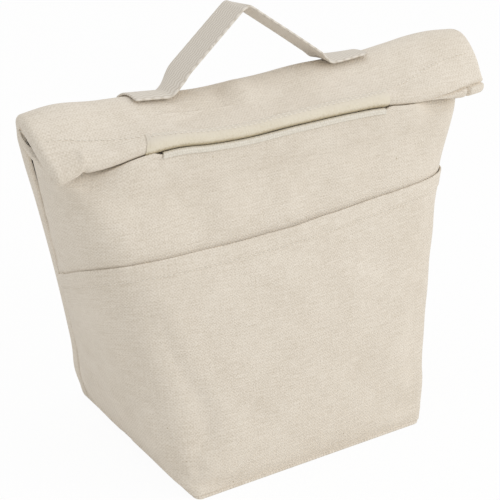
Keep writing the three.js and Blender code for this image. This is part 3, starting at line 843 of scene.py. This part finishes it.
# Node, margin at the ends, first row and looks of each layer, from the outside in
frontRow = nearest(rollRows, runRoll - 13)
layers = dict(
    backCanvas=("back_canvas", None, 0, [canvas] * 3),
    backLiner=("back_liner", 4.5, 1, [foam, film, foam]),
    frontLiner=("front_liner", 5, frontRow, [film, foam, foam]),
    frontCanvas=("front_canvas", 5, frontRow, [canvas] * 3))
nearDepth, edgeTurn = 0.0, 2.2
for layer, (node, margin, fromRow, looks) in layers.items():
    slot = "canvas" if layer.endswith("Canvas") else "liner"
    farDepth = nearDepth + bag[slot]
    if layer == "backCanvas":
        faces = sheetFaces(backGrid, nearDepth, farDepth, fold=bag["seamFold"])
    else:
        flatGrid = backSheet(rollRows[fromRow:], flatShares, margin)
        faces = sheetFaces(flatGrid, nearDepth, farDepth, fold=0 if slot == "liner" else edgeTurn, foldTo=-1)
    for k, (stretch, joined) in enumerate(stretches.items()):
        nodes = [joined[0] + node] if joined else []
        if stretch == "rear" and layer.startswith("back"):
            nodes = [node] + nodes
        elif stretch == "fold" and layer == "backCanvas":
            nodes = ["hem_curl_canvas"]
        rows = (max(rowOf[k] - fromRow, 0), rowOf[k + 1] - fromRow)
        name = layer + stretch.capitalize()
        piece = clothSheet(name, *faces, backUp[fromRow:], looks, rows=rows)
        joinStretch(piece, stretch, roll["curl"] - farDepth)
        finish(piece, None, slot, *nodes)
    nearDepth = farDepth + bag["layGap"]

# Base panel: a shallow tray whose turned-up edge is sewn to the walls. It and its pad are rings, each with an
# inset and a height, from the middle of the underside round to the middle of the top.
baseForm = dict(
    frontLip=0.9, arc=11, straight=51, shrinkFrom=8.5, shrinkOver=70, wave=0.25, leastCorner=0.3,
    panel=[(60, 0.35), (30, 0.35), (12, 0.3), (6, 0.2), (1.5, 0.05), (0.0, 0.12), (-0.5, 0.5), (-0.7, 1.2),
           (-0.6, 1.9), (-0.2, 2.5), (0.35, 2.6), (0.75, 2.55), (0.95, 2.0), (1.3, 1.2), (3, 1.05), (8, 1.05),
           (30, 1.05), (60, 1.05)],
    pad=[(60, 1.3), (30, 1.3), (8, 1.3), (2.2, 1.35), (1.6, 1.9), (1.9, 2.6), (3.5, 3.1), (12, 3.2),
         (30, 3.2), (60, 3.2)])


def baseRing(inset):
    s = baseForm
    front, back = (max(bag[corner] - inset, s["leastCorner"]) for corner in ("cornerAtBase", "backCorner"))
    x, y = baseHalf - inset, baseBack - inset
    low = y + s["frontLip"]  # the lip stands out a little more along the front
    corners = []
    for middle, r, first in (((front - x, front - low), front, 180), ((x - front, front - low), front, 270),
                             ((x - back, y - back), back, 0), ((back - x, y - back), back, 90)):
        corners.append(np.array(middle) + r * polar(np.linspace(first, first + 90, s["arc"])))
    ring = []
    for one, two in zip(corners, corners[1:] + corners[:1]):
        ring += [one, np.linspace(one[-1], two[0], s["straight"])[1:-1]]
    return np.concatenate(ring)


def stackRings(name, rings, look):
    s = baseForm
    points, place = [], []
    for inset, z in rings:
        ring = baseRing(min(inset, s["shrinkFrom"])) * (1 - max(inset - s["shrinkFrom"], 0) / s["shrinkOver"])
        wave = s["wave"] * ripple(ring[:, 0], ring[:, 1], 61, 60) * ease(2, 14, inset)
        points.append(np.column_stack([ring, z + wave]))
        place.append(np.column_stack([ring, np.zeros(len(ring))]))
    faces = tubeFaces(0, len(rings), len(points[0]))
    return makePiece(name, np.concatenate(points), faces, np.concatenate(place), [look])


basePanel = stackRings("basePanel", baseForm["panel"], canvas)
finish(basePanel, "bag", "canvas", "base_canvas")
baseLiner = stackRings("baseLiner", baseForm["pad"], film)
finish(baseLiner, "bag", "liner", "base_liner")
print("base")

# Hook tape on the front panel's shoulder
hookForm = dict(left=-90, right=78, below=11.6, above=2.4, thick=1.0, lift=0.3, slant=7, slantFrom=0.3)
s = hookForm
hookRows = np.linspace(curlCentre[1] - s["below"], curlCentre[1] + s["above"], 30)
hookX = np.linspace(s["left"], s["right"], 90)
wallLines = onWall(np.repeat(hookRows[:, None], columnCount, 1))[:, cornerEnd:-cornerEnd]
hookBase = np.array([along(hookX, line[:, 0], line) for line in wallLines])
slanted = np.linspace(0, 1, len(hookRows))[:, None] - s["slantFrom"]
hookBase[:, :, 0] += slanted * s["slant"] * ease(-70, -92, hookX)[None]
faces = sheetFaces(hookBase, -s["lift"] - s["thick"], -s["lift"])
hookTape = clothSheet("hookTape", *faces, upRun(hookBase), [hooks] * 3)
finish(hookTape, "bag", "hook_tape", "hook_tape")
hookStitch = stitchRow("hookStitch", faces[0][1, 1:-1], facing(faces[0])[1, 1:-1], pitch=3.2, length=2.6,
                       width=0.45, lift=0)
finish(hookStitch, "bag", "canvas")

# Loop tape on the flap. It goes on round the fold to face the hooks.
loopForm = dict(
    left=-100, right=82, thick=1.0, edgeThick=0.4, lift=0.15, slant=3, columns=100, aboveStitch=1.4,
    foldRow=15, hemRow=33, lastRow=42,
    stitchDrop=[(-168, 11.5), (-152, 13.4), (-141, 17.2), (-128, 19.6), (-107, 24.2), (-98, 26.0),
                (-80, 28.4), (-60, 29.4), (40, 29.6), (66, 29.2), (77, 28.2), (95, 23.2), (111, 19.6),
                (125, 16.2), (144, 14.0), (168, 12.0)])


def onRoll(runsAt, xs, out):  # places above the roll's outer face, by distance along the path and X
    runsAt, xs = np.broadcast_arrays(runsAt, xs)
    spot, ahead, behind = (along(runsAt + step, pathRun, sidePath) for step in (0, 0.4, -0.4))
    y, z = spot[..., 0], spot[..., 1] + rollLift(runsAt, xs)
    dy, dz = np.moveaxis(ahead - behind, -1, 0)
    way = unit(np.stack([np.zeros(xs.shape), dz, -dy], -1))
    return np.stack([xs, y, z], -1) + way * out, way


s = loopForm
loopX = np.linspace(s["right"], s["left"], s["columns"])
tapeTop = runFlap + through(s["stitchDrop"], loopX) - s["aboveStitch"]
downFlap = np.linspace(0, 1, s["foldRow"] + 1)[:, None] ** 1.5
onward = np.concatenate([np.linspace(runFold, runHem, s["hemRow"] - s["foldRow"] + 1)[1:],
                         np.linspace(runHem, runEnd - 1, s["lastRow"] - s["hemRow"] + 1)[1:]])
onward = np.repeat(onward[:, None], s["columns"], 1)
loopRuns = np.concatenate([tapeTop + (runFold - tapeTop) * downFlap, onward])
fromTop = loopRuns - tapeTop
tapeX = loopX[None] - s["slant"] * ease(0, 14, fromTop) * ease(-80, -100, loopX)[None]
loopBase, loopOut = onRoll(loopRuns, tapeX, 0.0)
endDistance = np.minimum(loopX - s["left"], s["right"] - loopX)[None]
full = ease(0, 2.2, fromTop) * ease(0, 3, endDistance)  # thin along its sewn edges
body = s["thick"] * (s["edgeThick"] + (1 - s["edgeThick"]) * full)
faces = sheetFaces(loopBase, -s["lift"] - body[..., None], -s["lift"], inward=-loopOut)
for name, rows, body, nodes in (
        ("loopTapeFlap", (0, s["foldRow"]), "flap", ["loop_tape_flap"]),
        ("loopTapeFold", (s["foldRow"], s["hemRow"]), None, []),
        ("loopTapeHem", (s["hemRow"], s["lastRow"]), "hem", ["loop_tape_hem"])):
    piece = clothSheet(name, *faces, upRun(loopBase), [pile] * 3, rows=rows)
    if body is None:
        joinStretch(piece, "fold", roll["curl"])
    finish(piece, body, "loop_tape", *nodes)

# Stitches on the flap: along the hem's fold and twice along the tape's upper edge
for name, ends, drop, out in (
        ("flapStitchLeft", (-162, -101), 0.0, 0.0), ("flapStitchRight", (83, 162), 0.0, 0.0),
        ("tapeStitchUpper", (-98, 80), -0.6, 0.6), ("tapeStitchLower", (-98, 80), 1.7, 1.15)):
    xs = np.linspace(*ends, 120)
    path, way = onRoll(runFlap + through(s["stitchDrop"], xs) + drop, xs, out)
    row = stitchRow(name, path, way, pitch=3.8, length=2.6, width=0.65, lift=0.2, seed=len(name))
    finish(row, "flap", "canvas")
print("tapes and stitches")

# Handle: webbing with its ends sewn flat on the roll, standing up in a pointed loop that leans with the tabs
strap = dict(
    width=25, thick=1.6, rest=0.35, angle=81, apex=(-7.0, 44.2), overApex=2.2, left=(-93, -68.5),
    right=(84.5, 54.5), foot=5, peak=6, sharp=0.86, twist=(5, 1), pivotReach=9, loopFrom=11,
    cupFront=[(-93, 2.2), (-30, 2.2), (20, 0.9), (52, 0.9), (85, 0.5)],
    cupBack=[(-93, 3.5), (-30, 3.5), (20, 0.9), (52, 0.9), (85, 2.5)],
    forward=[(-12, 0), (0, 0), (50, 4.5), (62, 4), (85, 0)])
lean = polar(strap["angle"])  # up along the handle, in Y and Z
tabSpot = rollCentre + lean * roll["radius"]
tabRun = runAt(tabSpot)


def strapRest(x):  # height of the strap's middle above the round of the roll
    return rollLift(tabRun, np.asarray(x, float)) / lean[1] + strap["thick"] / 2 + strap["rest"]


def roundedLine(corners, radii, step=1.0):
    corners = np.array(corners, float)
    line = [corners[0]]
    for before, corner, after, radius in zip(corners, corners[1:], corners[2:], radii):
        back, on = unit(before - corner), unit(after - corner)
        reach = radius / math.tan(math.acos(np.clip(np.dot(back, on), -1, 1)) / 2)
        one, two = corner + back * reach, corner + on * reach
        pull = corner * strap["sharp"] + (one + two) / 2 * (1 - strap["sharp"])
        t = np.linspace(0, 1, 14)[:, None]
        line += list((1 - t) ** 2 * one + 2 * t * (1 - t) * pull + t ** 2 * two)
    line = np.array(line + [corners[-1]])
    run = lineRun(line)
    return along(np.linspace(0, run[-1], int(run[-1] / step)), run, line)


def onStrap(x, height, a):  # x along the bag, height up the handle, a from -1 to 1 across the webbing
    s = strap
    forward = through(s["forward"], x)  # the right end is sewn further forward on the round of the roll
    twist = np.where(x < s["apex"][0], *s["twist"]) - forward
    aside = polar(s["angle"] - 90 + twist * ease(0.5, 7, height))  # across the webbing, towards the back
    spread = tabSpot + lean * height[..., None] - aside * a[..., None] * s["width"] / 2 - rollCentre
    cos, sin = np.moveaxis(polar(forward), -1, 0)
    y, z = np.moveaxis(spread, -1, 0)
    return np.stack([x, rollCentre[0] + y * cos - z * sin, rollCentre[1] + y * sin + z * cos], -1)


s = strap
corners = [(x, float(strapRest(x))) for x in (*s["left"], *s["right"][::-1])]
corners.insert(2, (s["apex"][0], s["apex"][1] + s["overApex"]))
strapLine = roundedLine(corners, (s["foot"], s["peak"], s["foot"]))
acrossStrap = np.linspace(-1, 1, 17)
way = unit(np.gradient(strapLine, axis=0))
strapUp = np.stack([-way[:, 1], way[:, 0]], -1)
strapX, strapZ = strapLine[:, [0]], strapLine[:, [1]]
above = strapZ - strapRest(strapX)
lying = np.where(strapX < s["apex"][0], ease(14, 2, above), ease(6, 1.5, above))
cup = np.where(acrossStrap > 0, through(s["cupFront"], strapX), through(s["cupBack"], strapX))
cup = -cup * lying * acrossStrap[None] ** 2
strapGrid = onStrap(strapX + strapUp[:, [0]] * cup, strapZ + strapUp[:, [1]] * cup,
                    np.broadcast_to(acrossStrap, cup.shape))
strapIn = -facing(strapGrid)
if strapIn[3, 8, 2] > 0:
    strapIn = -strapIn
half = s["thick"] / 2
across = np.broadcast_to(acrossStrap[None] * s["width"] / 2, cup.shape)
faces = strapGrid - strapIn * half, strapGrid + strapIn * half, across
strapRun = lineRun(strapLine)[:, None]
peak = int(np.argmax(strapLine[:, 1]))
pivot = hinge["handle_flop"][1:]
loopHeight = np.dot(pivot - tabSpot, lean) + s["loopFrom"]
upLeft, upRight = nearest(strapLine[:peak, 1], loopHeight), peak + nearest(strapLine[peak:, 1], loopHeight)
for name, rows, body, nodes in (
        ("handleLeft", (0, upLeft), None, ("handle_tab_left", "handle_foot_left")),
        ("handleLoop", (upLeft, upRight), "handle", ("handle_loop",)),
        ("handleRight", (upRight, len(strapLine) - 1), None, ("handle_tab_right", "handle_foot_right"))):
    piece = clothSheet(name, *faces, strapRun, [webbing] * 3, rows=rows, rimSteps=3)
    if body is None:
        bend(piece, "crown_top", "handle", pivot - lean * s["pivotReach"], pivot + lean * s["pivotReach"])
    finish(piece, body, "webbing", *nodes)
print("handle")


# Floor, light and camera. Paper and world look white where they are seen, and light the bag more softly.
def seenDirectly(add):
    rays = add("LightPath").outputs
    most = rays["Is Camera Ray"]
    for ray in ("Is Glossy Ray", "Is Transmission Ray"):
        most = add("Math MAXIMUM", [most, rays[ray]])
    return most


stageForm = dict(floorHalf=3, paper="#F4F3F1", paperWhite=0.95, skyLight=0.735, lampsAim=(0, 0, 0.13))
far = stageForm["floorHalf"]
floorCorners = [(-far, -far, 0), (far, -far, 0), (far, far, 0), (-far, far, 0)]
floor = addObject("floor", newMesh("floor", floorCorners, [(0, 1, 2, 3)]))
paper = bpy.data.materials.new("backgroundPaper")
paper.use_nodes = True
add, nodes = partial(addNode, paper.node_tree), paper.node_tree.nodes
feed(nodes["Principled BSDF"], {"Base Color": stageForm["paper"], "Roughness": 1.0})
share = add("Math MULTIPLY", [seenDirectly(add), stageForm["paperWhite"]])
white = add("Emission", {"Color": (1, 1, 1, 1), "Strength": 1.0})
feed(nodes["Material Output"], {"Surface": add("MixShader", [share, nodes["Principled BSDF"], white])})
floor.data.materials.append(paper)

world = bpy.data.worlds.new("studio")
bpy.context.scene.world = world
world.use_nodes = True
add = partial(addNode, world.node_tree)
level = add("MapRange", {0: seenDirectly(add), 3: stageForm["skyLight"], 4: 1.0})
feed(world.node_tree.nodes["Background"], {"Color": (1, 1, 1, 1), "Strength": level})

for name, at, size, watts in (("rightFront", (1.3, -1.5, 1.0), 1.2, 11), ("top", (0.0, 0.0, 2.0), 1.4, 3.4)):
    lamp = bpy.data.lights.new(name, "AREA")
    lamp.energy = watts
    lamp.size = size
    holder = addObject(name, lamp)
    holder.location = at
    holder.rotation_euler = (Vector(stageForm["lampsAim"]) - Vector(at)).to_track_quat("-Z", "Y").to_euler()

viewForm = dict(azimuth=-32.4, elevation=25.0, distance=1.0798, aim=(0.0021, 0.0, 0.1258), lens=111.86,
                sensor=36)
s = viewForm
turn, tilt = math.radians(s["azimuth"]), math.radians(s["elevation"])
back = Vector((math.sin(turn) * math.cos(tilt), -math.cos(turn) * math.cos(tilt), math.sin(tilt)))
cameraData = bpy.data.cameras.new("camera")
cameraData.lens = s["lens"]
cameraData.sensor_width = s["sensor"]
cameraData.sensor_height = s["sensor"]
camera = addObject("camera", cameraData)
camera.location = Vector(s["aim"]) + back * s["distance"]
camera.rotation_euler = (-back).to_track_quat("-Z", "Y").to_euler()
bpy.context.scene.camera = camera
bpy.context.scene.view_settings.view_transform = "Standard"
print("stage set")
